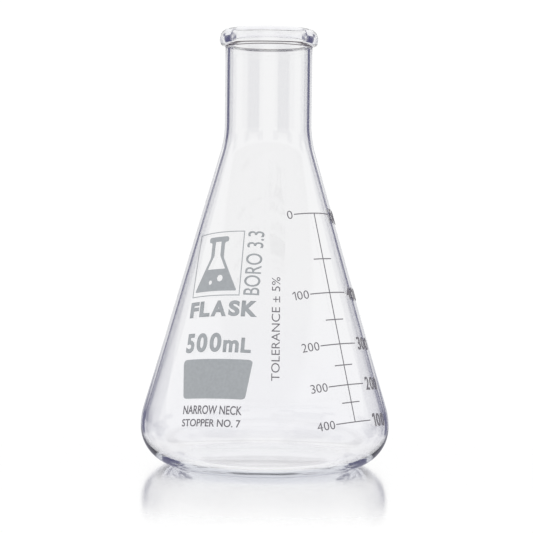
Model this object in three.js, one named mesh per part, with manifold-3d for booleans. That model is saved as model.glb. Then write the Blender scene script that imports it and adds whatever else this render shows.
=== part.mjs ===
// 500 mL narrow-mouth Erlenmeyer flask: one blown borosilicate vessel with a fired enamel print.
// Millimetres, +Z up, origin at the centre of the foot, the printed label facing -Y.
import * as THREE from 'three';
import { mergeVertices } from 'three/addons/utils/BufferGeometryUtils.js';
import { TessellateModifier } from 'three/addons/modifiers/TessellateModifier.js';
import Module from 'manifold-3d';

const wasm = await Module();
wasm.setup();

// ---- driving dimensions ------------------------------------------------------------------

const HEIGHT = 180;
const BODY_R = 51.5;
const NECK_R = 17.95;
const WALL = 1.7;
const HALF_ANGLE = THREE.MathUtils.degToRad(16.27);
const HEEL_R = 16;
const BLEND_R = 28.5;
const SHOULDER_R = 45;
const FLOOR = 3;
const FOOT_WIDTH = 3;
const PUNT = 2.5;
const BEAD = { r: 20.3, crest: 17.2, belly: 4.5, drop: 2.3, fillet: 1.2, lip: 1.6 };
const LATHE_SEGMENTS = 64;
const ARC_STEPS = 2;
const STROKE_STEPS = 8;
const CORNER_STEPS = 4;
const RING_STEPS = 9;
const WELD = 1e-5;

// The enamel is a thin film, drawn flat and then rolled on to the cone.
const FILM = 0.1;
const FILM_GAP = 0.08;
const FILM_EDGE = 2.5;
const FILM_SPLITS = 20;
const FILM_RISE = 16;
const PRINT_LEVEL = 62;
const LABEL_AZIMUTH = THREE.MathUtils.degToRad(-15);
const SCALE_AZIMUTH = THREE.MathUtils.degToRad(44.7);

const GRADUATIONS = [
  { volume: 500, height: 104.7 },
  { volume: 450, height: 86.5 },
  { volume: 400, height: 73.1 },
  { volume: 350, height: 62.5 },
  { volume: 300, height: 52.9 },
  { volume: 250, height: 44.7 },
  { volume: 200, height: 37 },
  { volume: 150, height: 30.2 },
  { volume: 100, height: 22.6 },
];
const FULL_VOLUME = 500;
const MAJOR_STEP = 100;
const SCALE = { major: 20, minor: 10, line: 0.42 };
const LEFT_NUMERALS = { cap: 3.45, stroke: 0.42, gap: 0.7 };
const RIGHT_NUMERALS = { cap: 5.4, stroke: 0.95, gap: 2 };

const LABEL = { left: -24.4, width: 31 };
const FRAME = { top: 37, width: 23.2, height: 26.5, line: 0.35 };
const PICTOGRAM_RISE = 2;
const WORD = { text: 'FLASK', baseline: 2.1, cap: 6.4, stroke: 1.5, stretch: 1.18 };
const VOLUME = { baseline: -12.4, cap: 7.9, stroke: 1.6, unitCap: 6, unitStroke: 1.25 };
const PATCH = { top: -15.1, bottom: -30.9, inset: 1.7, corner: 1.9 };

const GLASS = { color: 0xeef3f5, roughness: 0.02, metalness: 0 };
const PALE_ENAMEL = { color: 0xa6abae, roughness: 0.45, metalness: 0 };
const DARK_ENAMEL = { color: 0x757078, roughness: 0.45, metalness: 0 };

// ---- the vessel --------------------------------------------------------------------------

const SIN = Math.sin(HALF_ANGLE);
const COS = Math.cos(HALF_ANGLE);
const TAN = Math.tan(HALF_ANGLE);
const RIGHT_ANGLE = Math.PI / 2;

// Radius that the straight cone would have at z = 0, from the blend arc it is tangent to.
const CONE_R0 = BODY_R - BLEND_R * (1 - COS) + TAN * (HEEL_R + BLEND_R * SIN);
const coneRadius = (z) => CONE_R0 - TAN * z;
const SHOULDER_TOP = (CONE_R0 - NECK_R - SHOULDER_R * (1 - COS)) / TAN + SHOULDER_R * SIN;

function vesselProfile() {
  const heelCentre = BODY_R - HEEL_R;
  const blendCentre = BODY_R - BLEND_R;
  const shoulderCentre = NECK_R + SHOULDER_R;
  const bellyLevel = HEIGHT - BEAD.belly;
  const beadStart = bellyLevel - BEAD.drop - BEAD.fillet;
  const filletCentre = NECK_R + BEAD.fillet;
  const neckInside = NECK_R - WALL;
  const lipWidth = BEAD.crest - neckInside;
  const innerHeelR = HEEL_R - FLOOR;
  const innerHeelCentre = BODY_R - WALL - innerHeelR;
  const footInside = heelCentre - FOOT_WIDTH;
  const puntR = (footInside ** 2 + PUNT ** 2) / (2 * PUNT);
  const innerPuntR = (innerHeelCentre ** 2 + PUNT ** 2) / (2 * PUNT);
  const innerPuntEdge = Math.acos(innerHeelCentre / innerPuntR);

  const outside = new THREE.Path();
  outside.absarc(0, PUNT - puntR, puntR, RIGHT_ANGLE, Math.acos(footInside / puntR), true);
  outside.lineTo(heelCentre, 0);
  outside.absarc(heelCentre, HEEL_R, HEEL_R, -RIGHT_ANGLE, 0, false);
  outside.absarc(blendCentre, HEEL_R, BLEND_R, 0, HALF_ANGLE, false);
  outside.absarc(shoulderCentre, SHOULDER_TOP, SHOULDER_R, Math.PI + HALF_ANGLE, Math.PI, true);
  outside.absarc(filletCentre, beadStart, BEAD.fillet, Math.PI, RIGHT_ANGLE, true);
  outside.absellipse(filletCentre, bellyLevel, BEAD.r - filletCentre, BEAD.drop, -RIGHT_ANGLE, 0, false);
  outside.absellipse(BEAD.crest, bellyLevel, BEAD.r - BEAD.crest, BEAD.belly, 0, RIGHT_ANGLE, false);

  const inside = new THREE.Path();
  inside.absellipse(BEAD.crest, HEIGHT - BEAD.lip, lipWidth, BEAD.lip, RIGHT_ANGLE, Math.PI, false);
  inside.absarc(shoulderCentre, SHOULDER_TOP, SHOULDER_R + WALL, Math.PI, Math.PI + HALF_ANGLE, false);
  inside.absarc(blendCentre, HEEL_R, BLEND_R - WALL, HALF_ANGLE, 0, true);
  inside.absarc(innerHeelCentre, HEEL_R, innerHeelR, 0, -RIGHT_ANGLE, true);
  inside.absarc(0, FLOOR + PUNT - innerPuntR, innerPuntR, innerPuntEdge, RIGHT_ANGLE, false);

  return [...outside.getPoints(ARC_STEPS), ...inside.getPoints(ARC_STEPS)];
}

function vesselGeometry() {
  const points = vesselProfile().filter((p, i, all) => i === 0 || p.distanceTo(all[i - 1]) > WELD);
  points[0].x = 0;
  points[points.length - 1].x = 0;
  return new THREE.LatheGeometry(points, LATHE_SEGMENTS).rotateX(RIGHT_ANGLE);
}

// ---- solids for the print ----------------------------------------------------------------

function toManifold(geometry) {
  const bare = geometry.clone();
  bare.deleteAttribute('normal');
  bare.deleteAttribute('uv');
  const merged = mergeVertices(bare, WELD);
  const vertProperties = new Float32Array(merged.attributes.position.array);
  const triVerts = new Uint32Array(merged.index.array);
  return new wasm.Manifold(new wasm.Mesh({ numProp: 3, vertProperties, triVerts }));
}

function fromManifold(solid) {
  const mesh = solid.getMesh();
  const geometry = new THREE.BufferGeometry();
  geometry.setAttribute('position', new THREE.BufferAttribute(mesh.vertProperties, 3));
  geometry.setIndex(new THREE.BufferAttribute(mesh.triVerts, 1));
  return geometry;
}

const flatFilm = (shape, curveSegments = STROKE_STEPS) =>
  new THREE.ExtrudeGeometry(shape, { depth: FILM, bevelEnabled: false, curveSegments });

// A film made of four-cornered cells that share whole edges. Each cell lists its corners
// anticlockwise, and a wall closes every edge that only one cell has.
function cellFilm(cells) {
  const key = (point) => `${point.x.toFixed(4)},${point.y.toFixed(4)}`;
  const edge = (a, b) => key(a) + '>' + key(b);
  const edges = new Set(cells.flatMap((cell) => cell.map((a, i) => edge(a, cell[(i + 1) % 4]))));
  const positions = [];
  const quad = (...points) => [0, 1, 2, 0, 2, 3].forEach((i) => positions.push(...points[i]));
  const low = (point) => [point.x, point.y, 0];
  const high = (point) => [point.x, point.y, FILM];
  for (const cell of cells) {
    quad(...cell.map(high));
    quad(...cell.map(low).reverse());
    cell.forEach((a, i) => {
      const b = cell[(i + 1) % 4];
      if (!edges.has(edge(b, a))) quad(low(a), low(b), high(b), high(a));
    });
  }
  const position = new THREE.Float32BufferAttribute(positions, 3);
  return new THREE.BufferGeometry().setAttribute('position', position);
}

// The cells between two lines of the same number of points, the lower one first.
const cellsBetween = (lower, upper) =>
  lower.slice(1).map((point, i) => [lower[i], point, upper[i + 1], upper[i]]);

// A row of evenly spaced points along y = level, close enough together to follow the wall.
function row(from, to, level) {
  const count = Math.ceil(Math.abs(to - from) / FILM_EDGE);
  const place = (i) => from + ((to - from) * i) / count;
  return Array.from({ length: count + 1 }, (_, i) => new THREE.Vector2(place(i), level));
}

// Joins the shapes and trims them to the box from the origin to (width, height).
function joined(shapes, width, height) {
  const solids = shapes.map((shape) => toManifold(flatFilm(shape)));
  const box = new THREE.BoxGeometry(width, height, 2 * FILM);
  box.translate(width / 2, height / 2, FILM / 2);
  return fromManifold(solids.reduce((sum, solid) => sum.add(solid)).intersect(toManifold(box)));
}

// A stroke of a pen with square ends: the path's points, moved half a width to each side.
function ribbon(points, width) {
  const left = [];
  const right = [];
  points.forEach((point, i) => {
    const before = points[Math.max(i - 1, 0)];
    const after = points[Math.min(i + 1, points.length - 1)];
    const a = point.clone().sub(before).normalize();
    const b = after.clone().sub(point).normalize();
    const along = a.clone().add(b).normalize();
    const side = new THREE.Vector2(-along.y, along.x);
    const turn = Math.max(along.dot(i > 0 ? a : b), 0.5);
    side.multiplyScalar(width / 2 / turn);
    left.push(point.clone().add(side));
    right.push(point.clone().sub(side));
  });
  return new THREE.Shape([...left, ...right.reverse()]);
}

// The wall is curved across and straight along its slant, so the art is cut into edges no longer
// than FILM_EDGE across and FILM_RISE along.
function cutForRolling(flat) {
  const squash = FILM_EDGE / FILM_RISE;
  flat.scale(1, squash, 1);
  return new TessellateModifier(FILM_EDGE, FILM_SPLITS).modify(flat).scale(1, 1 / squash, 1);
}

// Rolls flat art on to the cone without stretching it. The art's y axis lies along the wall at
// the given azimuth, and its y = 0 is at PRINT_LEVEL.
const APEX = CONE_R0 / TAN;
const PRINT_SLANT = coneRadius(PRINT_LEVEL) / SIN;

function rollOnCone(flat, azimuth) {
  const fine = cutForRolling(flat);
  const position = fine.attributes.position;
  for (let i = 0; i < position.count; i++) {
    const x = position.getX(i);
    const up = PRINT_SLANT - position.getY(i);
    const slant = Math.hypot(x, up);
    const angle = azimuth + Math.atan2(x, up) / SIN;
    const off = FILM_GAP + position.getZ(i);
    const r = slant * SIN + off * COS;
    position.setXYZ(i, r * Math.sin(angle), -r * Math.cos(angle), APEX - slant * COS + off * SIN);
  }
  return fine;
}

// ---- glyphs ------------------------------------------------------------------------------

// Each glyph is a list of pen strokes, trimmed to a box one cap height tall. `w` is the box's
// width and `h` is half a pen width, both in cap heights, so a glyph fits its box at any weight.
const line = (...xy) => {
  const path = new THREE.Path();
  path.moveTo(xy[0], xy[1]);
  for (let i = 2; i < xy.length; i += 2) path.lineTo(xy[i], xy[i + 1]);
  return path;
};
const oval = (x, y, rx, ry, from, to, clockwise = true) => {
  const [a, b] = [from, to].map(THREE.MathUtils.degToRad);
  return new THREE.Path().absellipse(x, y, rx, ry, a, b, clockwise);
};

const DIGIT_WIDTH = 0.66;
const NUMERAL_SPACE = 0.15;
const GLYPHS = {
  1: { w: 0.4, strokes: (w, h) => [line(0, 0.77, w, 1.02), line(w - h, 0, w - h, 1)] },
  2: {
    w: 0.6,
    strokes: (w, h) => {
      const top = oval(w / 2 - 0.02, 0.72, w / 2 - h, 0.28 - h, 165, -35);
      top.lineTo(h, h);
      return [top, line(0, h, w, h)];
    },
  },
  3: {
    w: 0.56,
    strokes: (w, h) => [
      oval(w / 2 - 0.06, 0.75 - h / 2, w / 2 - h + 0.03, 0.25 - h / 2, 120, -90),
      oval(w / 2 - 0.06, 0.25 + h / 2, w / 2 - h + 0.06, 0.25 - h / 2, 90, -130),
    ],
  },
  4: {
    w: 0.7,
    strokes: (w, h) => [
      line(w - 0.18 - h, 1 + h, 0, 0.24 + h),
      line(0, 0.24 + h, w, 0.24 + h),
      line(w - 0.18 - h, 0, w - 0.18 - h, 1),
    ],
  },
  5: {
    w: 0.58,
    strokes: (w, h) => [
      line(0.08, 1 - h, w - 0.02, 1 - h),
      line(0.08 + h, 1, 0.08 + h, 0.48),
      oval(w / 2 - 0.07, 0.31, w / 2 - h + 0.07, 0.31 - h, 110, -125),
    ],
  },
  m: {
    w: 1.08,
    strokes: (w, h) => {
      const span = (w - 2 * h) / 2;
      const arch = (x) => {
        const path = oval(x + span / 2, 0.52, span / 2, 0.3 - h, 180, 0);
        path.lineTo(x + span, 0);
        return path;
      };
      return [line(h, 0, h, 0.8), arch(h), arch(h + span)];
    },
  },
  A: {
    w: 0.92,
    strokes: (w, h) => [
      line(h - 0.1, -0.24, w / 2, 1, w - h + 0.1, -0.24),
      line(0.2, 0.28, w - 0.2, 0.28),
    ],
  },
  F: {
    w: 0.64,
    strokes: (w, h) => [line(h, 0, h, 1), line(h, 1 - h, w, 1 - h), line(h, 0.5, w - 0.05, 0.5)],
  },
  K: {
    w: 0.86,
    strokes: (w, h) => [line(h, 0, h, 1), line(h, 0.4, w, 1.12), line(0.24, 0.62, w, -0.14)],
  },
  L: { w: 0.68, strokes: (w, h) => [line(h, 0, h, 1), line(h, h, w, h)] },
  S: {
    w: 0.66,
    strokes: (w, h) => {
      const path = oval(w / 2 + 0.02, 0.75 - h / 2, w / 2 - h - 0.02, 0.25 - h / 2, 50, 250, false);
      path.absellipse(w / 2, 0.25 + h / 2, w / 2 - h, 0.25 - h / 2, 1.2, -2.3, true);
      return [path];
    },
  },
};

function ovalRing(w, h) {
  const ring = new THREE.Shape().absellipse(w / 2, 0.5, w / 2, 0.5, 0, 2 * Math.PI, false);
  ring.holes.push(oval(w / 2, 0.5, w / 2 - 2 * h, 0.5 - 2 * h, 0, 360));
  return ring;
}

const glyphWidth = (character) => (character === '0' ? DIGIT_WIDTH : GLYPHS[character].w);

function glyphGeometry(character, cap, stroke) {
  const h = stroke / cap / 2;
  const w = glyphWidth(character);
  if (character === '0') return flatFilm(ovalRing(w, h), RING_STEPS).scale(cap, cap, 1);
  const shapes = GLYPHS[character].strokes(w, h).map((path) => ribbon(path.getPoints(STROKE_STEPS), 2 * h));
  return joined(shapes, w, 1).scale(cap, cap, 1);
}

// ---- the object --------------------------------------------------------------------------

const flask = new THREE.Group();

function addPiece(name, geometry, look) {
  const mesh = new THREE.Mesh(geometry, new THREE.MeshStandardMaterial(look));
  mesh.name = name;
  flask.add(mesh);
}

function addPrint(name, flat, azimuth, look) {
  addPiece(name, rollOnCone(flat, azimuth), look);
}

// Sets a text along a baseline: the left edge of each glyph, for a given clear space between them.
function setText(text, left, space, cap) {
  let x = left;
  return [...text].map((character) => {
    const place = { character, x };
    x += glyphWidth(character) * cap + space;
    return place;
  });
}

const textWidth = (text, space, cap) =>
  [...text].reduce((sum, character) => sum + glyphWidth(character) * cap + space, -space);

addPiece('flask', vesselGeometry(), GLASS);

// The scale: a spine along the wall and a line across it at each graduation.
const slantHeight = (z) => (z - PRINT_LEVEL) / COS;

function scaleCells() {
  const half = SCALE.line / 2;
  const across = (x, level) => [...row(-x, -half, level), ...row(half, x, level)];
  return GRADUATIONS.flatMap(({ volume, height }, i) => {
    const level = slantHeight(height);
    const reach = (volume % MAJOR_STEP ? SCALE.minor : SCALE.major) / 2;
    const cells = cellsBetween(across(reach, level - half), across(reach, level + half));
    if (i === 0) return cells;
    const next = slantHeight(GRADUATIONS[i - 1].height);
    return [...cells, ...cellsBetween(row(-half, half, level + half), row(-half, half, next - half))];
  });
}

addPrint('graduation_scale', cellFilm(scaleCells()), SCALE_AZIMUTH, DARK_ENAMEL);

// On the left of the scale the volume poured out of a full flask, on its right the volume held.
function addNumeral(side, value, level, style) {
  const text = String(value);
  const space = style.cap * NUMERAL_SPACE;
  const width = textWidth(text, space, style.cap);
  const reach = SCALE.major / 2 + style.gap;
  const left = side === 'left' ? -reach - width : reach;
  setText(text, left, space, style.cap).forEach(({ character, x }, i) => {
    const glyph = glyphGeometry(character, style.cap, style.stroke);
    glyph.translate(x, slantHeight(level) - style.cap / 2, 0);
    addPrint(`${side}_${value}_digit_${i + 1}`, glyph, SCALE_AZIMUTH, DARK_ENAMEL);
  });
}

for (const { volume, height } of GRADUATIONS.filter((mark) => mark.volume % MAJOR_STEP === 0)) {
  addNumeral('left', FULL_VOLUME - volume, height, LEFT_NUMERALS);
  addNumeral('right', volume, height, RIGHT_NUMERALS);
}

// The label: a framed flask pictogram, a word, the nominal volume and a field to write on.
function outline(corners, radius) {
  const shape = new THREE.Shape();
  corners.forEach((corner, i) => {
    const before = corners[(i + corners.length - 1) % corners.length];
    const after = corners[(i + 1) % corners.length];
    const start = corner.clone().add(before.clone().sub(corner).setLength(radius));
    const end = corner.clone().add(after.clone().sub(corner).setLength(radius));
    if (i === 0) shape.moveTo(start.x, start.y);
    else shape.lineTo(start.x, start.y);
    shape.quadraticCurveTo(corner.x, corner.y, end.x, end.y);
  });
  return shape;
}

const corners = (...xy) => xy.map(([x, y]) => new THREE.Vector2(x, y));

function mirrored(...rightSide) {
  const leftSide = rightSide.map(([x, y]) => [-x, y]).reverse();
  return corners(...rightSide, ...leftSide);
}

function frameCells(left, bottom) {
  const right = left + FRAME.width;
  const top = bottom + FRAME.height;
  const edge = FRAME.line;
  const columns = (level) => [
    ...corners([left, level]),
    ...row(left + edge, right - edge, level),
    ...corners([right, level]),
  ];
  const side = (x) => cellsBetween(row(x, x + edge, bottom + edge), row(x, x + edge, top - edge));
  return [
    ...cellsBetween(columns(bottom), columns(bottom + edge)),
    ...cellsBetween(columns(top - edge), columns(top)),
    ...side(left),
    ...side(right - edge),
  ];
}

function pictogramShape() {
  const body = [[10.2, 0], [3.2, 13.8], [3.2, 20.2], [4.9, 20.2], [4.9, 22.4]];
  const shape = outline(mirrored(...body), 0.9);
  shape.holes.push(outline(mirrored([4.4, 9], [1.5, 14.6], [1.5, 20.4]).reverse(), 0.4));
  shape.holes.push(new THREE.Path().absarc(2.3, 5.2, 1.4, 0, 2 * Math.PI, true));
  shape.holes.push(new THREE.Path().absarc(-2.2, 3.6, 0.9, 0, 2 * Math.PI, true));
  return shape;
}

const frameBottom = FRAME.top - FRAME.height;
addPrint('label_frame', cellFilm(frameCells(LABEL.left, frameBottom)), LABEL_AZIMUTH, PALE_ENAMEL);

const pictogram = flatFilm(pictogramShape(), CORNER_STEPS);
pictogram.translate(LABEL.left + FRAME.width / 2, frameBottom + PICTOGRAM_RISE, 0);
addPrint('label_pictogram', pictogram, LABEL_AZIMUTH, PALE_ENAMEL);

// The word's letters are wide, and the space between them makes it as long as the label.
const wideCap = WORD.cap * WORD.stretch;
const wordSpace = (LABEL.width - textWidth(WORD.text, 0, wideCap)) / (WORD.text.length - 1);
setText(WORD.text, LABEL.left, wordSpace, wideCap).forEach(({ character, x }, i) => {
  const glyph = glyphGeometry(character, WORD.cap, WORD.stroke).scale(WORD.stretch, 1, 1);
  glyph.translate(x, WORD.baseline, 0);
  addPrint(`label_word_${i + 1}_${character}`, glyph, LABEL_AZIMUTH, PALE_ENAMEL);
});

const number = String(FULL_VOLUME);
const numberSpace = VOLUME.cap * NUMERAL_SPACE;
const numberWidth = textWidth(number, numberSpace, VOLUME.cap);
const unitSpace = VOLUME.unitCap * NUMERAL_SPACE;
const volumeGlyphs = [
  ...setText(number, LABEL.left, numberSpace, VOLUME.cap).map((place) => ({ ...place, unit: false })),
  ...setText('mL', LABEL.left + numberWidth + unitSpace, unitSpace, VOLUME.unitCap)
    .map((place) => ({ ...place, unit: true })),
];
volumeGlyphs.forEach(({ character, x, unit }, i) => {
  const cap = unit ? VOLUME.unitCap : VOLUME.cap;
  const stroke = unit ? VOLUME.unitStroke : VOLUME.stroke;
  const glyph = glyphGeometry(character, cap, stroke).translate(x, VOLUME.baseline, 0);
  addPrint(`label_volume_${i + 1}_${character}`, glyph, LABEL_AZIMUTH, PALE_ENAMEL);
});

// The field's lower or upper edge with its two round corners, from left to right.
function fieldEdge(level, inset) {
  const middle = (PATCH.top + PATCH.bottom) / 2;
  const left = LABEL.left + inset;
  const right = LABEL.left + LABEL.width - inset;
  const toLevel = Math.sign(level - middle) * PATCH.corner;
  const round = (...xy) => new THREE.QuadraticBezierCurve(...corners(...xy)).getPoints(CORNER_STEPS);
  return [
    ...round([left, level - toLevel], [left, level], [left + PATCH.corner, level]),
    ...row(left + PATCH.corner, right - PATCH.corner, level).slice(1, -1),
    ...round([right - PATCH.corner, level], [right, level], [right, level - toLevel]),
  ];
}

const fieldCells = cellsBetween(fieldEdge(PATCH.bottom, PATCH.inset), fieldEdge(PATCH.top, 0));
addPrint('marking_field', cellFilm(fieldCells), LABEL_AZIMUTH, PALE_ENAMEL);

export default flask;
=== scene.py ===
"""A 500 mL Erlenmeyer flask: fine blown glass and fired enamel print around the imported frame."""
import math

import bmesh
import bpy
from mathutils import Matrix, Vector


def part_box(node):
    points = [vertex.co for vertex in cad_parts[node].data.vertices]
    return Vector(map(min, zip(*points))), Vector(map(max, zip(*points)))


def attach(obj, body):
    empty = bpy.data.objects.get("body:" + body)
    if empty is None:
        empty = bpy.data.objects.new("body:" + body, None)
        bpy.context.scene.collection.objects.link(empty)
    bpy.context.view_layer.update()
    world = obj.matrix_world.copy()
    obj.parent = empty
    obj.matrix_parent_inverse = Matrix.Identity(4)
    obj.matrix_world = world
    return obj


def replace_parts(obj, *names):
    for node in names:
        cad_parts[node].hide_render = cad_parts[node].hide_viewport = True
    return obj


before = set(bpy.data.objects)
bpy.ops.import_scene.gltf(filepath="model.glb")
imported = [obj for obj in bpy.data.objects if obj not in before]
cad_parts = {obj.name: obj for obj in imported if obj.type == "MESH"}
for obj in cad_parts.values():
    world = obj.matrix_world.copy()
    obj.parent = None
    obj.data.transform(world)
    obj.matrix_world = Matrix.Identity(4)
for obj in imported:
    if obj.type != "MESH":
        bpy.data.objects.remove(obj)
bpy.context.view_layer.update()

MM = 0.001


# ---- dimensions of the vessel, in millimetres --------------------------------------------

low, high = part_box("flask")
HEIGHT = (high[2] - low[2]) / MM
BODY_R = (high[0] - low[0]) / 2 / MM
NECK_R = 17.95
WALL = 1.7
HALF_ANGLE = math.radians(16.27)
HEEL_R = 16
BLEND_R = 28.5
SHOULDER_R = 45
FLOOR = 3
FOOT_WIDTH = 3
PUNT = 2.5
BEAD_R = 20.3
BEAD_CREST = 17.2
BEAD_BELLY = 4.5
BEAD_DROP = 2.3
BEAD_FILLET = 1.2
LIP = 1.6

SIN, COS, TAN = math.sin(HALF_ANGLE), math.cos(HALF_ANGLE), math.tan(HALF_ANGLE)
CONE_R0 = BODY_R - BLEND_R * (1 - COS) + TAN * (HEEL_R + BLEND_R * SIN)
SHOULDER_TOP = (CONE_R0 - NECK_R - SHOULDER_R * (1 - COS)) / TAN + SHOULDER_R * SIN
APEX = CONE_R0 / TAN
QUARTER = math.pi / 2

# How far apart the profile's points are on its main curves, the nearly flat ones, the bead's belly,
# the finest curves and the straight stretches.
PROFILE_STEP = 0.7
FLAT_STEP = 2
BEAD_STEP = 0.3
FINE_STEP = 0.2
STRAIGHT_STEP = 6
FEWEST_STEPS = 6
SEGMENTS = 512
ON_AXIS = 1e-6  # a radius below this is a point of the axis


# ---- glass -------------------------------------------------------------------------------

def arc(x, z, rx, rz, start, end, step=PROFILE_STEP):
    """Points of an elliptical arc about (x, z), from one angle to the other."""
    count = max(FEWEST_STEPS, math.ceil(abs(end - start) * max(rx, rz) / step))
    angles = [start + (end - start) * i / count for i in range(count + 1)]
    return [(x + rx * math.cos(a), z + rz * math.sin(a)) for a in angles]


def joined_profile(*stretches):
    """One outline through all stretches, with the straight gaps between them divided evenly."""
    outline = list(stretches[0])
    for stretch in stretches[1:]:
        a, b = Vector(outline[-1]), Vector(stretch[0])
        count = math.ceil((b - a).length / STRAIGHT_STEP)
        outline += [tuple(a.lerp(b, i / count)) for i in range(1, count)]
        outline += stretch if count else stretch[1:]
    return outline


def vessel_profile():
    """The outside from the middle of the punt up to the lip, and the inside back down to the floor."""
    heel_centre = BODY_R - HEEL_R
    blend_centre = BODY_R - BLEND_R
    shoulder_centre = NECK_R + SHOULDER_R
    belly_level = HEIGHT - BEAD_BELLY
    fillet_centre = NECK_R + BEAD_FILLET
    fillet_level = belly_level - BEAD_DROP - BEAD_FILLET
    inner_heel_r = HEEL_R - FLOOR
    inner_heel_centre = BODY_R - WALL - inner_heel_r
    inner_shoulder_r = SHOULDER_R + WALL
    foot_inside = heel_centre - FOOT_WIDTH

    def punt(reach, level):
        radius = (reach ** 2 + PUNT ** 2) / (2 * PUNT)
        return radius, level + PUNT - radius, math.acos(reach / radius)

    punt_r, punt_z, punt_end = punt(foot_inside, 0)
    floor_r, floor_z, floor_end = punt(inner_heel_centre, FLOOR)
    return joined_profile(
        arc(0, punt_z, punt_r, punt_r, QUARTER, punt_end, FLAT_STEP),
        arc(heel_centre, HEEL_R, HEEL_R, HEEL_R, -QUARTER, 0),
        arc(blend_centre, HEEL_R, BLEND_R, BLEND_R, 0, HALF_ANGLE),
        arc(shoulder_centre, SHOULDER_TOP, SHOULDER_R, SHOULDER_R, math.pi + HALF_ANGLE, math.pi),
        arc(fillet_centre, fillet_level, BEAD_FILLET, BEAD_FILLET, math.pi, QUARTER, FINE_STEP),
        arc(fillet_centre, belly_level, BEAD_R - fillet_centre, BEAD_DROP, -QUARTER, 0, FINE_STEP),
        arc(BEAD_CREST, belly_level, BEAD_R - BEAD_CREST, BEAD_BELLY, 0, QUARTER, BEAD_STEP),
        arc(BEAD_CREST, HEIGHT - LIP, BEAD_CREST - NECK_R + WALL, LIP, QUARTER, math.pi, FINE_STEP),
        arc(shoulder_centre, SHOULDER_TOP, inner_shoulder_r, inner_shoulder_r, math.pi, math.pi + HALF_ANGLE),
        arc(blend_centre, HEEL_R, BLEND_R - WALL, BLEND_R - WALL, HALF_ANGLE, 0),
        arc(inner_heel_centre, HEEL_R, inner_heel_r, inner_heel_r, 0, -QUARTER),
        arc(0, floor_z, floor_r, floor_r, floor_end, QUARTER, FLAT_STEP),
    )


def lathe(name, profile):
    """A closed smooth body of revolution. The profile starts and ends on the axis."""
    mesh = bmesh.new()
    rings = []
    for r, z in profile:
        if r < ON_AXIS:
            rings.append([mesh.verts.new((0, 0, z * MM))])
            continue
        turns = (2 * math.pi * i / SEGMENTS for i in range(SEGMENTS))
        rings.append([mesh.verts.new((r * MM * math.sin(a), -r * MM * math.cos(a), z * MM)) for a in turns])
    for lower, upper in zip(rings, rings[1:]):
        for i in range(SEGMENTS):
            around = ((lower, i), (lower, i + 1), (upper, i + 1), (upper, i))
            corners = [ring[k % len(ring)] for ring, k in around]
            mesh.faces.new(list(dict.fromkeys(corners)))
    return finished(mesh, name)


def finished(mesh, name, smooth=True):
    data = bpy.data.meshes.new(name)
    mesh.to_mesh(data)
    mesh.free()
    if smooth:
        data.shade_smooth()
    piece = bpy.data.objects.new(name, data)
    bpy.context.scene.collection.objects.link(piece)
    return piece


# ---- materials ---------------------------------------------------------------------------

GLASS_IOR = 1.474
GLASS_TINT = (0.84, 0.86, 0.90)
GLASS_DENSITY = 12

ENAMEL_IOR = 1.55
ENAMEL_ROUGHNESS = 0.45
MESH_SCALE = 900
MESH_DETAIL = 4
MESH_TONES = (0.3, 0.7)
MESH_RELIEF = 0.3
MESH_DEPTH = 0.00005


def new_material(name, **sockets):
    material = bpy.data.materials.new(name)
    material.use_nodes = True
    nodes = material.node_tree.nodes
    shader = nodes["Principled BSDF"]
    for socket, value in sockets.items():
        shader.inputs[socket.replace("_", " ")].default_value = value
    return material, nodes, material.node_tree.links, shader


def glass_material():
    material, nodes, links, _ = new_material(
        "borosilicate_glass", Base_Color=(1, 1, 1, 1), Roughness=0.0, IOR=GLASS_IOR, Transmission_Weight=1.0)
    absorption = nodes.new("ShaderNodeVolumeAbsorption")
    absorption.inputs["Color"].default_value = (*GLASS_TINT, 1)
    absorption.inputs["Density"].default_value = GLASS_DENSITY
    links.new(absorption.outputs["Volume"], nodes["Material Output"].inputs["Volume"])
    return material


def enamel_material(name, color, grain):
    """Screen-printed enamel: a thin satin coat with a fine mesh grain and slightly uneven cover."""
    material, nodes, links, shader = new_material(name, Roughness=ENAMEL_ROUGHNESS, IOR=ENAMEL_IOR)
    place = nodes.new("ShaderNodeTexCoord")
    cover = nodes.new("ShaderNodeTexNoise")
    cover.inputs["Scale"].default_value = MESH_SCALE
    cover.inputs["Detail"].default_value = MESH_DETAIL
    links.new(place.outputs["Object"], cover.inputs["Vector"])
    tone = nodes.new("ShaderNodeValToRGB")
    for stop, position, change in zip(tone.color_ramp.elements, MESH_TONES, (-grain, grain)):
        stop.position = position
        stop.color = (*[min(c * (1 + change), 1) for c in color], 1)
    links.new(cover.outputs["Fac"], tone.inputs["Fac"])
    links.new(tone.outputs["Color"], shader.inputs["Base Color"])
    relief = nodes.new("ShaderNodeBump")
    relief.inputs["Strength"].default_value = MESH_RELIEF
    relief.inputs["Distance"].default_value = MESH_DEPTH
    links.new(cover.outputs["Fac"], relief.inputs["Height"])
    links.new(relief.outputs["Normal"], shader.inputs["Normal"])
    return material


GLASS = glass_material()
PALE_ENAMEL = enamel_material("pale_enamel", color=(0.36, 0.38, 0.40), grain=0.06)
DARK_ENAMEL = enamel_material("dark_enamel", color=(0.16, 0.15, 0.17), grain=0.08)

flask = lathe("flask_glass", vessel_profile())
flask.data.materials.append(GLASS)
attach(flask, "root")
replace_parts(flask, "flask")


# ---- fired enamel print ------------------------------------------------------------------

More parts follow.
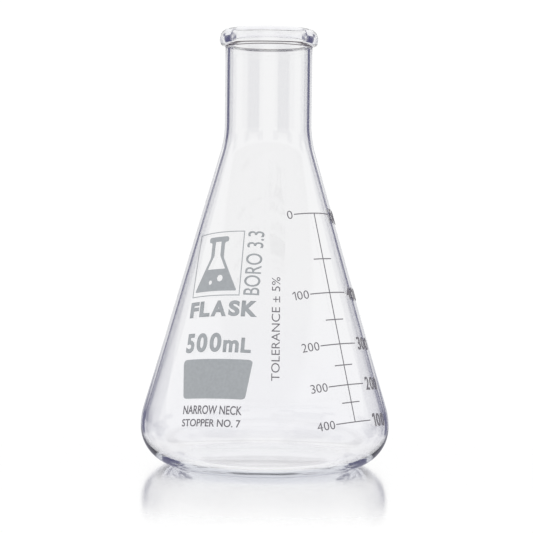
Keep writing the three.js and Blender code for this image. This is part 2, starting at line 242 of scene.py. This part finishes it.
# Flat art is drawn in millimetres and rolled on to the cone. Its y axis lies along the wall at the
# given azimuth, its y = 0 is at PRINT_LEVEL, and its thickness stands off the glass by FILM_GAP.
PRINT_LEVEL = 62
PRINT_SLANT = (CONE_R0 - TAN * PRINT_LEVEL) / SIN
LABEL_AZIMUTH = math.radians(-15)
SCALE_AZIMUTH = math.radians(44.7)
TOLERANCE_AZIMUTH = math.radians(5.7)
FILM = 0.1
FILM_GAP = 0.08
STRIP = 0.8
WELD = 1e-5
CURVE_STEPS = 6


def rolled(point, azimuth):
    x, y, depth = point
    slant = math.hypot(x, PRINT_SLANT - y)
    angle = azimuth + math.atan2(x, PRINT_SLANT - y) / SIN
    off = FILM_GAP + depth
    r = (slant * SIN + off * COS) * MM
    return r * math.sin(angle), -r * math.cos(angle), (APEX - slant * COS + off * SIN) * MM


def unrolled_box(node, azimuth):
    """Left, right, bottom and top of a CAD mark in the flat art it was rolled from."""
    xs, ys = [], []
    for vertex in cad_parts[node].data.vertices:
        x, y, z = vertex.co / MM
        slant = math.hypot(x, y) * SIN + (APEX - z) * COS
        angle = (math.atan2(x, -y) - azimuth) * SIN
        xs.append(slant * math.sin(angle))
        ys.append(PRINT_SLANT - slant * math.cos(angle))
    return min(xs), max(xs), min(ys), max(ys)


def film(name, flat, azimuth, material):
    """Turns a flat mesh of faces into a thin closed film on the cone. It is cut into strips that
    follow the wall's curve."""
    xs = [v.co.x for v in flat.verts]
    for i in range(math.ceil(min(xs) / STRIP), math.ceil(max(xs) / STRIP)):
        geometry = flat.verts[:] + flat.edges[:] + flat.faces[:]
        bmesh.ops.bisect_plane(flat, geom=geometry, dist=WELD, plane_co=(i * STRIP, 0, 0), plane_no=(1, 0, 0))
    raised = bmesh.ops.extrude_face_region(flat, geom=flat.faces[:], use_keep_orig=True)["geom"]
    for vertex in raised:
        if isinstance(vertex, bmesh.types.BMVert):
            vertex.co.z += FILM
    for vertex in flat.verts:
        vertex.co = rolled(vertex.co, azimuth)
    bmesh.ops.recalc_face_normals(flat, faces=flat.faces[:])
    piece = finished(flat, name, smooth=False)
    piece.data.materials.append(material)
    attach(piece, "root")
    return piece


def lettering(text, weight):
    """Flat faces of a line of text. The weight is added to each side of a stroke, in text sizes."""
    curve = bpy.data.curves.new(text, "FONT")
    curve.body = text
    curve.offset = weight
    curve.resolution_u = CURVE_STEPS
    holder = bpy.data.objects.new(text, curve)
    flat = bmesh.new()
    flat.from_mesh(holder.to_mesh())
    bpy.data.objects.remove(holder)
    bmesh.ops.remove_doubles(flat, verts=flat.verts[:], dist=WELD)
    return flat


def fitted(flat, left, right, bottom, top):
    """Stretches flat art to fill a box."""
    xs = [v.co.x for v in flat.verts]
    ys = [v.co.y for v in flat.verts]
    for vertex in flat.verts:
        vertex.co.x = left + (vertex.co.x - min(xs)) / (max(xs) - min(xs)) * (right - left)
        vertex.co.y = bottom + (vertex.co.y - min(ys)) / (max(ys) - min(ys)) * (top - bottom)
        vertex.co.z = 0
    return flat


NUMERAL_WEIGHT = {"left": -0.006, "right": 0.016}
LABEL_WEIGHT = {"label_word": 0.048, "label_volume": 0.036}


def reletter(node, character, azimuth, weight, material):
    """Replaces a CAD letter or digit by the same one in the print's typeface, in the same box."""
    flat = fitted(lettering(character, weight), *unrolled_box(node, azimuth))
    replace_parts(film(node + "_print", flat, azimuth, material), node)


for name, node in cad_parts.items():
    if name == "flask":
        continue
    enamel = PALE_ENAMEL if name.startswith(("label", "marking")) else DARK_ENAMEL
    for slot in node.material_slots:
        slot.material = enamel

# The digit 1 is a plain stroke in both, so it stays as it is.
for value in ("0", "100", "200", "300", "400", "500"):
    for side, weight in NUMERAL_WEIGHT.items():
        for place, digit in enumerate(value, 1):
            name = f"{side}_{value}_digit_{place}"
            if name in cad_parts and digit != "1":
                reletter(name, digit, SCALE_AZIMUTH, weight, DARK_ENAMEL)

for line, weight in LABEL_WEIGHT.items():
    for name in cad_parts:
        if name.startswith(line):
            reletter(name, name[-1], LABEL_AZIMUTH, weight, PALE_ENAMEL)


def small_print(name, text, azimuth, box, weight, material=DARK_ENAMEL, upward=False, turn=0.0):
    """A line of text that fills a box (left, right, bottom, top) in the flat art, and is then turned.
    An upward line reads from bottom to top."""
    flat = lettering(text, weight)
    if upward:
        bmesh.ops.rotate(flat, verts=flat.verts[:], matrix=Matrix.Rotation(QUARTER, 3, "Z"))
    fitted(flat, *box)
    if turn:
        bmesh.ops.rotate(flat, verts=flat.verts[:], matrix=Matrix.Rotation(turn, 3, "Z"))
    return film(name, flat, azimuth, material)


small_print("print_glass_type", "BORO 3.3", LABEL_AZIMUTH, box=(0.25, 6.75, 10.9, 36.9), weight=0.003,
            material=PALE_ENAMEL, upward=True)
small_print("print_neck_type", "NARROW NECK", LABEL_AZIMUTH, box=(-21.75, 3.9, -37.1, -33.6), weight=0.012)
small_print("print_stopper", "STOPPER NO. 7", LABEL_AZIMUTH, box=(-21.75, 3.75, -42, -39), weight=0.012)
small_print("print_tolerance", "TOLERANCE \u00b1 5%", TOLERANCE_AZIMUTH, box=(-1.65, 1.65, -23.4, 18.2),
            weight=-0.004, upward=True, turn=math.radians(-1.5))


# ---- camera and light --------------------------------------------------------------------

CAMERA_DISTANCE = 0.7073
CAMERA_HEIGHT = 0.1138
CAMERA_PITCH = math.radians(2.565)
CAMERA_ROLL = math.radians(0.65)
LENS = 115.2
SENSOR_WIDTH = 36
WORLD_LIGHT = 1.02

# Light crosses many faces and turns back inside the thick heel and bead, so it needs long paths.
BOUNCES = 40
GLOSSY_BOUNCES = 24

scene = bpy.context.scene
scene.view_settings.view_transform = "Standard"
scene.cycles.max_bounces = BOUNCES
scene.cycles.transmission_bounces = BOUNCES
scene.cycles.glossy_bounces = GLOSSY_BOUNCES

camera_data = bpy.data.cameras.new("camera")
camera_data.lens = LENS
camera_data.sensor_width = SENSOR_WIDTH
camera = bpy.data.objects.new("camera", camera_data)
scene.collection.objects.link(camera)
camera.matrix_world = (
    Matrix.Translation((0, -CAMERA_DISTANCE, CAMERA_HEIGHT))
    @ Matrix.Rotation(QUARTER - CAMERA_PITCH, 4, "X")
    @ Matrix.Rotation(CAMERA_ROLL, 4, "Z"))
scene.camera = camera

world = bpy.data.worlds.new("studio")
world.use_nodes = True
world.node_tree.nodes["Background"].inputs["Color"].default_value = (1, 1, 1, 1)
world.node_tree.nodes["Background"].inputs["Strength"].default_value = WORLD_LIGHT
scene.world = world


# ---- stage pieces and node helpers, in metres --------------------------------------------

SCREEN_R = 2.5
STAGE_SEGMENTS = 128


def staged(mesh, name, level, material, *seen_by):
    """A piece of the stage at a level, which only the named kinds of ray see."""
    piece = finished(mesh, name, smooth=False)
    piece.data.materials.append(material)
    piece.location.z = level
    for kind in ("camera", "diffuse", "glossy", "transmission", "volume_scatter", "shadow"):
        setattr(piece, "visible_" + kind, kind in seen_by)


def wall(name, bottom, top, material, *seen_by):
    """An upright cylinder about the axis, open at both ends."""
    mesh = bmesh.new()
    bmesh.ops.create_cone(mesh, cap_ends=False, segments=STAGE_SEGMENTS, radius1=SCREEN_R,
                          radius2=SCREEN_R, depth=top - bottom)
    bmesh.ops.translate(mesh, verts=mesh.verts, vec=(0, 0, (top + bottom) / 2))
    staged(mesh, name, 0, material, *seen_by)


def disc(name, radius, level, material, *seen_by):
    """A level disc about the axis."""
    mesh = bmesh.new()
    bmesh.ops.create_circle(mesh, cap_ends=True, radius=radius, segments=STAGE_SEGMENTS)
    staged(mesh, name, level, material, *seen_by)


def emitter(name):
    """A material that only gives off light."""
    material = bpy.data.materials.new(name)
    material.use_nodes = True
    nodes, links = material.node_tree.nodes, material.node_tree.links
    nodes.clear()
    light = nodes.new("ShaderNodeEmission")
    out = nodes.new("ShaderNodeOutputMaterial")
    links.new(light.outputs[0], out.inputs["Surface"])
    return material, nodes, links, light


def plain_light(name, tone):
    material, _, _, light = emitter(name)
    light.inputs["Color"].default_value = (*tone, 1)
    return material


def connect(links, source, socket):
    """Links an output to a socket, or sets the socket to a number or a tone."""
    if isinstance(source, tuple):
        socket.default_value = (*source, 1)
    elif isinstance(source, (int, float)):
        socket.default_value = source
    else:
        links.new(source, socket)


def arithmetic(nodes, links, operation, first, second=0.0):
    """The result of a maths node on outputs or numbers."""
    step = nodes.new("ShaderNodeMath")
    step.operation = operation
    connect(links, first, step.inputs[0])
    connect(links, second, step.inputs[1])
    return step.outputs[0]


def product(nodes, links, first, second):
    return arithmetic(nodes, links, "MULTIPLY", first, second)


def map_range(nodes, links, source, start, end, to_start=0.0, to_end=1.0):
    """Goes smoothly from one value to the other while the source goes from start to end."""
    ranged = nodes.new("ShaderNodeMapRange")
    ranged.interpolation_type = "SMOOTHSTEP"
    for socket, value in (("From Min", start), ("From Max", end), ("To Min", to_start), ("To Max", to_end)):
        ranged.inputs[socket].default_value = value
    links.new(source, ranged.inputs["Value"])
    return ranged.outputs["Result"]


# Where a Mix node's sockets are when it mixes colours.
MIX_FACTOR, MIX_FIRST, MIX_SECOND, MIX_RESULT = 0, 6, 7, 2


def blended(nodes, links, factor, first, second):
    """A colour between two tones or colour outputs."""
    mix = nodes.new("ShaderNodeMix")
    mix.data_type = "RGBA"
    for source, index in ((factor, MIX_FACTOR), (first, MIX_FIRST), (second, MIX_SECOND)):
        connect(links, source, mix.inputs[index])
    return mix.outputs[MIX_RESULT]


def distance_from_axis(nodes, links, place):
    flat = nodes.new("ShaderNodeVectorMath")
    flat.operation = "MULTIPLY"
    flat.inputs[1].default_value = (1, 1, 0)
    links.new(place.outputs["Object"], flat.inputs[0])
    reach = nodes.new("ShaderNodeVectorMath")
    reach.operation = "LENGTH"
    links.new(flat.outputs["Vector"], reach.inputs[0])
    return reach.outputs["Value"]


def gap_round_axis(nodes, links, place, count, half_width, softness):
    """One in the gaps between panels that stand evenly round the axis, and nought at the panels. The
    half width of a gap is a share of the panels' spacing."""
    turn = nodes.new("ShaderNodeTexGradient")
    turn.gradient_type = "RADIAL"
    links.new(place.outputs["Object"], turn.inputs["Vector"])
    part = arithmetic(nodes, links, "FRACT", product(nodes, links, turn.outputs["Fac"], count))
    off_middle = arithmetic(nodes, links, "ABSOLUTE", arithmetic(nodes, links, "SUBTRACT", part, 0.5))
    return map_range(nodes, links, off_middle, half_width - softness, half_width, 1, 0)


# ---- what the glass bends light from -----------------------------------------------------

# Only refracted rays see these: bright panels all round, with dark gaps between them near the
# horizon, twice as many gaps lower down, and a dark band and a dark lid high above.
SCREEN_BOTTOM = -3.0
SCREEN_TOP = 5.0
GAPS = (
    {"count": 4, "half_width": 0.22, "softness": 0.04, "bottom": (-0.2, -0.1), "top": (0.8, 1.0)},
    {"count": 8, "half_width": 0.2, "softness": 0.06, "bottom": (-0.6, -0.45), "top": (-0.1, 0.0)},
)
GAP_TONE = (0.08, 0.08, 0.17)
PANEL_TONE = (0.91, 0.91, 0.915)
LOW_TONE = (0.90, 0.90, 0.93)
LOW_LEVELS = (-0.38, 0.05)
DEEP_TONE = (0.95, 0.95, 0.965)
DEEP_LEVELS = (-0.9, -0.5)
BAND_TONE = (0.05, 0.03, 0.04)
BAND_BOTTOM = (1.1, 1.2)
BAND_TOP = (1.7, 1.85)
LID_TONE = (0.06, 0.05, 0.07)
LID_LEVELS = (3.4, 4.0)
BOTTOM_TONE = (1.0, 1.0, 1.0)


def screen_material():
    material, nodes, links, light = emitter("screen")
    place = nodes.new("ShaderNodeTexCoord")
    parts = nodes.new("ShaderNodeSeparateXYZ")
    links.new(place.outputs["Object"], parts.inputs[0])
    height = parts.outputs["Z"]

    def between(bottom, top):
        rising = map_range(nodes, links, height, *bottom)
        return product(nodes, links, rising, map_range(nodes, links, height, *top, 1, 0))

    tone = blended(nodes, links, map_range(nodes, links, height, *LOW_LEVELS), LOW_TONE, PANEL_TONE)
    tone = blended(nodes, links, map_range(nodes, links, height, *DEEP_LEVELS), DEEP_TONE, tone)
    for gaps in GAPS:
        gap = gap_round_axis(nodes, links, place, gaps["count"], gaps["half_width"], gaps["softness"])
        gap = product(nodes, links, gap, between(gaps["bottom"], gaps["top"]))
        tone = blended(nodes, links, gap, tone, GAP_TONE)
    tone = blended(nodes, links, between(BAND_BOTTOM, BAND_TOP), tone, BAND_TONE)
    tone = blended(nodes, links, map_range(nodes, links, height, *LID_LEVELS), tone, LID_TONE)
    links.new(tone, light.inputs["Color"])
    return material


# ---- floor -------------------------------------------------------------------------------

FLOOR_R = 6
FLOOR_LEVEL = -0.00005
FLOOR_GLOW = 0.87
FLOOR_MATTE = 0.15
POLISH_REACH = (0.08, 0.15)
POLISH_ROUGHNESS = 0.14
POLISH_IOR = 2.0
POLISH_GAIN = 2.0


def floor_material():
    """White acrylic, evenly lit from within and above, and polished round the object."""
    material, nodes, links, glow = emitter("floor")
    glow.inputs["Strength"].default_value = FLOOR_GLOW
    matte = nodes.new("ShaderNodeBsdfDiffuse")
    matte.inputs["Color"].default_value = (FLOOR_MATTE, FLOOR_MATTE, FLOOR_MATTE, 1)
    body = nodes.new("ShaderNodeAddShader")
    links.new(glow.outputs[0], body.inputs[0])
    links.new(matte.outputs[0], body.inputs[1])
    gloss = nodes.new("ShaderNodeBsdfGlossy")
    gloss.inputs["Roughness"].default_value = POLISH_ROUGHNESS
    gloss.inputs["Color"].default_value = (1, 1, 1, 1)
    fresnel = nodes.new("ShaderNodeFresnel")
    fresnel.inputs["IOR"].default_value = POLISH_IOR
    place = nodes.new("ShaderNodeTexCoord")
    polish = map_range(nodes, links, distance_from_axis(nodes, links, place), *POLISH_REACH, 1, 0)
    strong = arithmetic(nodes, links, "MINIMUM", product(nodes, links, fresnel.outputs[0], POLISH_GAIN), 1)
    mix = nodes.new("ShaderNodeMixShader")
    links.new(product(nodes, links, strong, polish), mix.inputs[0])
    links.new(body.outputs[0], mix.inputs[1])
    links.new(gloss.outputs[0], mix.inputs[2])
    links.new(mix.outputs[0], nodes["Material Output"].inputs["Surface"])
    return material


# ---- what surfaces reflect ---------------------------------------------------------------

# Only reflected rays see this white room. It has dark corners, and its floor is dark near the
# object. That floor lies a millimetre lower than the other, so that they don't share a plane.
ROOM_CORNERS = 4
ROOM_FLOOR = FLOOR_LEVEL - MM
ROOM_TOP = 0.5
ROOM_LIGHT = (1.0, 1.0, 1.0)
ROOM_DARK = (0.35, 0.35, 0.41)
CORNER_HALF_WIDTH = 0.35
CORNER_SOFTNESS = 0.08
ROOM_NEAR = (0.09, 0.14)


def room_material():
    material, nodes, links, light = emitter("room")
    place = nodes.new("ShaderNodeTexCoord")
    corner = gap_round_axis(nodes, links, place, ROOM_CORNERS, CORNER_HALF_WIDTH, CORNER_SOFTNESS)
    side = arithmetic(nodes, links, "SUBTRACT", 1.0, corner)
    away = map_range(nodes, links, distance_from_axis(nodes, links, place), *ROOM_NEAR)
    tone = blended(nodes, links, product(nodes, links, side, away), ROOM_DARK, ROOM_LIGHT)
    links.new(tone, light.inputs["Color"])
    return material


# ---- stage -------------------------------------------------------------------------------

wall("screen", SCREEN_BOTTOM, SCREEN_TOP, screen_material(), "transmission")
disc("floor", FLOOR_R, FLOOR_LEVEL, floor_material(), "camera", "diffuse", "shadow")
disc("screen_bottom", SCREEN_R, SCREEN_BOTTOM, plain_light("screen_bottom", BOTTOM_TONE), "transmission")
disc("screen_lid", SCREEN_R, SCREEN_TOP, plain_light("screen_lid", LID_TONE), "transmission")
ROOM = room_material()
disc("room_floor", SCREEN_R, ROOM_FLOOR, ROOM, "glossy")
wall("room_wall", 0, ROOM_TOP, ROOM, "glossy")
